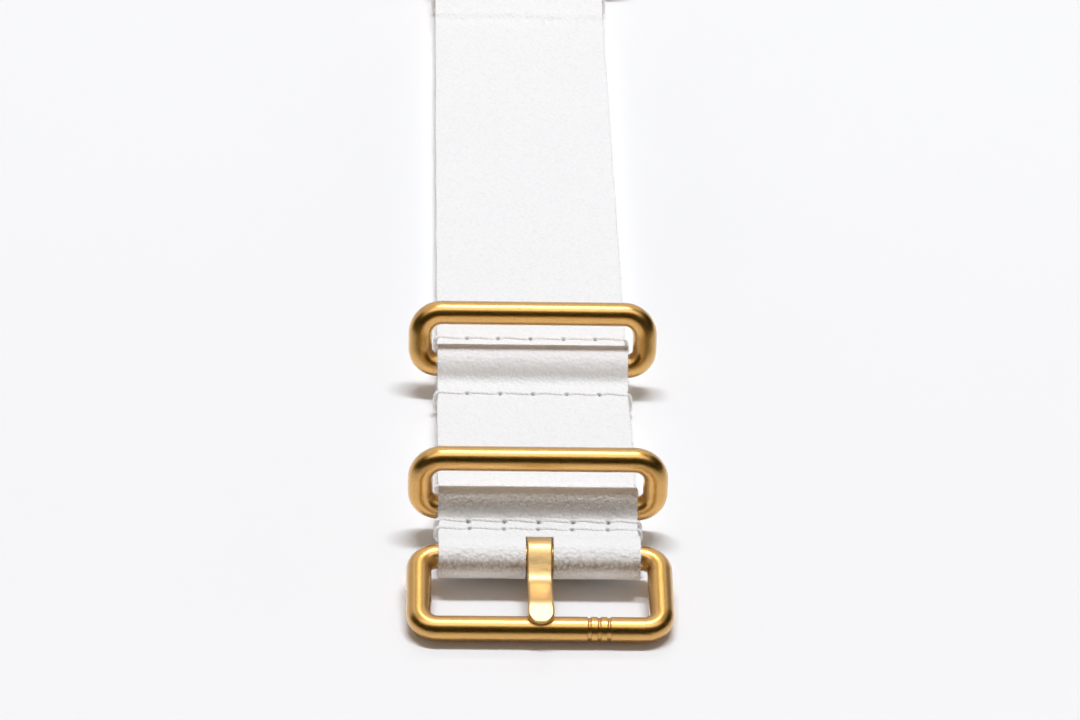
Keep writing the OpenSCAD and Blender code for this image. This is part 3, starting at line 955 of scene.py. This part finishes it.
def lamp(name, size, power, colour, place, target, hidden):
    """A flat rectangular lamp, which either lights the pieces or shows itself in polished surfaces."""
    light = bpy.data.lights.new(name, "AREA")
    light.shape, light.size, light.size_y = "RECTANGLE", *size
    light.energy, light.color = power, colour
    hung = bpy.data.objects.new(name, light)
    hung.location = place
    hung.rotation_euler = (target - place).to_track_quat("-Z", "Y").to_euler()
    hung.visible_camera = False
    setattr(hung, hidden, False)
    bpy.context.scene.collection.objects.link(hung)


focus, downwards = Vector((0, -0.03, 0)), Vector((0, 0, -1))
lamp_far, lamp_right = 1.2, 0.045


def overhead(degrees):
    """A place above the strap and behind it, that many degrees over the table."""
    steep = math.radians(degrees)
    return focus + Vector((lamp_right, math.cos(steep), math.sin(steep))).normalized() * lamp_far


cool, warm, amber = (0.95, 1.003, 1.07), (1.0, 0.95, 0.90), (1.0, 0.87, 0.74)
front_tint, side_tint = (1.0, 0.94, 0.88), (1.0, 0.96, 0.92)
behind, nearer = focus + Vector((0, 0.45, 0.95)), focus + Vector((0, 0.302, 0.95))
lamp("key_lamp", (0.7, 0.1), 11.3, cool, overhead(74.5), focus, "visible_glossy")
lamp("key_gleam", (0.45, 0.36), 3.9, cool, overhead(77), focus, "visible_diffuse")
lamp("soft_light", (1.5, 1.0), 1.7, amber, behind, behind + downwards, "visible_glossy")
lamp("soft_gleam", (1.7, 1.656), 10.6, warm, nearer, nearer + downwards, "visible_diffuse")
fill_size, fill_up = (1.8, 0.2), 0.11
for name, power, tint, aside, ahead in (
        ("front_fill", 3.9, front_tint, 0, -lamp_far),
        ("left_fill", 2.6, side_tint, -lamp_far, 0),
        ("right_fill", 2.6, side_tint, lamp_far, 0),
        ("back_fill", 2.2, side_tint, 0, lamp_far)):
    lamp(name, fill_size, power, tint, focus + Vector((aside, ahead, fill_up)), focus, "visible_glossy")

# The room is a pale grey where it is seen, and gives the pieces a weak warm light
room_warm, room_grey = (1.0, 0.84, 0.68, 1), (0.95, 0.95, 0.96, 1)
room_light, room_seen = 0.155, 0.455
world = bpy.data.worlds.new("studio")
bpy.context.scene.world = world
world.use_nodes = True
sky = Nodes(world.node_tree)
camera_ray = sky.node("ShaderNodeLightPath", output="Is Camera Ray")
seen = camera_ray.math("MAXIMUM", camera_ray, camera_ray.output("Is Glossy Ray"))
seen = seen.math("MAXIMUM", seen, camera_ray.output("Is Transmission Ray"))
glow = sky.node("ShaderNodeBackground", None, {
    "Color": sky.mix(seen, room_warm, room_grey), "Strength": room_light + seen * room_seen})
sky.node("ShaderNodeOutputWorld", None, {"Surface": glow})

# The camera looks down along the strap, a little turned and tilted, through a long lens. Its place is in
# millimetres, and the lens and the picture's width are in the photograph's pixels
elevation, yaw, roll = math.radians(35), math.radians(2.46), math.radians(-2.04)
focal_pixels, photo_pixels, sensor = 4300, 1080, 36.0
camera_place, camera_raise = Vector((-15.095, rear_bar.y - 337.22, 263.10)), 0.12
flat_share = math.cos(elevation)
forward = Vector((math.sin(yaw) * flat_share, math.cos(yaw) * flat_share, -math.sin(elevation)))
level = Vector((math.cos(yaw), -math.sin(yaw), 0))
down = forward.cross(level)
right = math.cos(roll) * level + math.sin(roll) * down
lower = -math.sin(roll) * level + math.cos(roll) * down
lens = bpy.data.cameras.new("camera")
lens.sensor_width, lens.lens = sensor, sensor * focal_pixels / photo_pixels
lens.clip_start, lens.clip_end = 0.01, 20
camera = bpy.data.objects.new("camera", lens)
pose = Matrix((right, -lower, -forward)).transposed().to_4x4()
pose.translation = (camera_place - camera_raise * lower) * mm
camera.matrix_world = pose
bpy.context.scene.collection.objects.link(camera)
bpy.context.scene.camera = camera
bpy.context.scene.view_settings.view_transform = "Standard"
